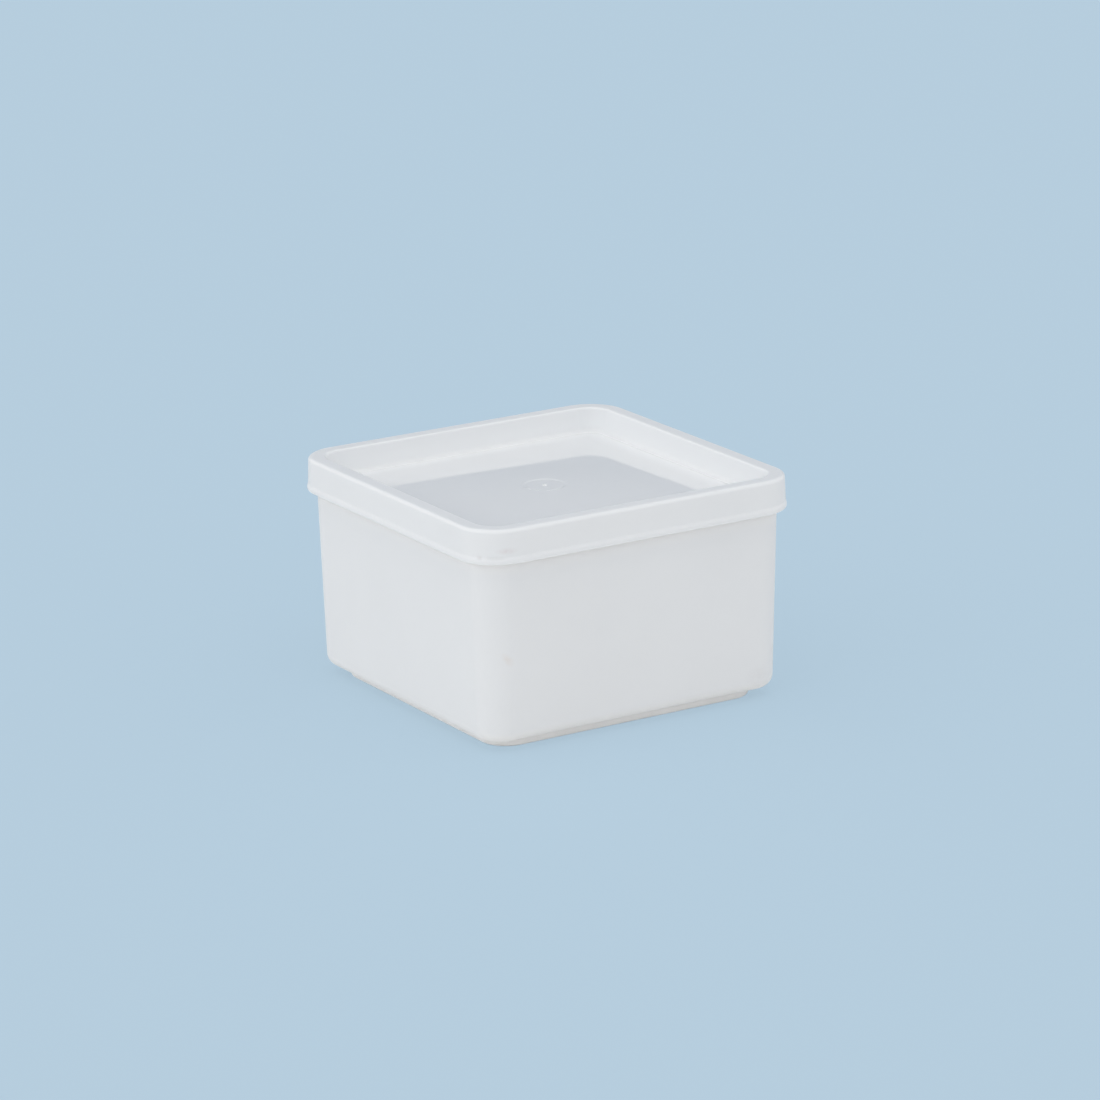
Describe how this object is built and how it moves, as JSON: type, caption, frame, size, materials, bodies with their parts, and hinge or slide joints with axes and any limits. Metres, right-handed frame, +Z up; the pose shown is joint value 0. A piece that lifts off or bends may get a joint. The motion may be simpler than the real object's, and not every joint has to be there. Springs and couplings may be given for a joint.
{
  "type": "square storage container",
  "caption": "Square milky plastic food tub with rounded corners, tapered walls and a stacking foot, closed by a press-on lid with a sunken top.",
  "frame": {"origin": "middle of the footprint, on the plane that the foot stands on", "axes": "+Z up out of the tub's mouth, the way the lid lifts; X and Y square to the four equal walls"},
  "size_m": [0.118, 0.118, 0.0728],
  "materials": {
    "tub_plastic": "milky polypropylene, satin outside",
    "lid_plastic": "milky polypropylene, polished top"
  },
  "bodies": {
    "tub": {"tub": "tub_plastic"},
    "lid": {"lid": "lid_plastic"}
  },
  "joints": [
    {"name": "lid_lift", "type": "slide", "parent": "tub", "child": "lid", "axis": [0, 0, 1], "range_m": [0, 0.1]}
  ]
}
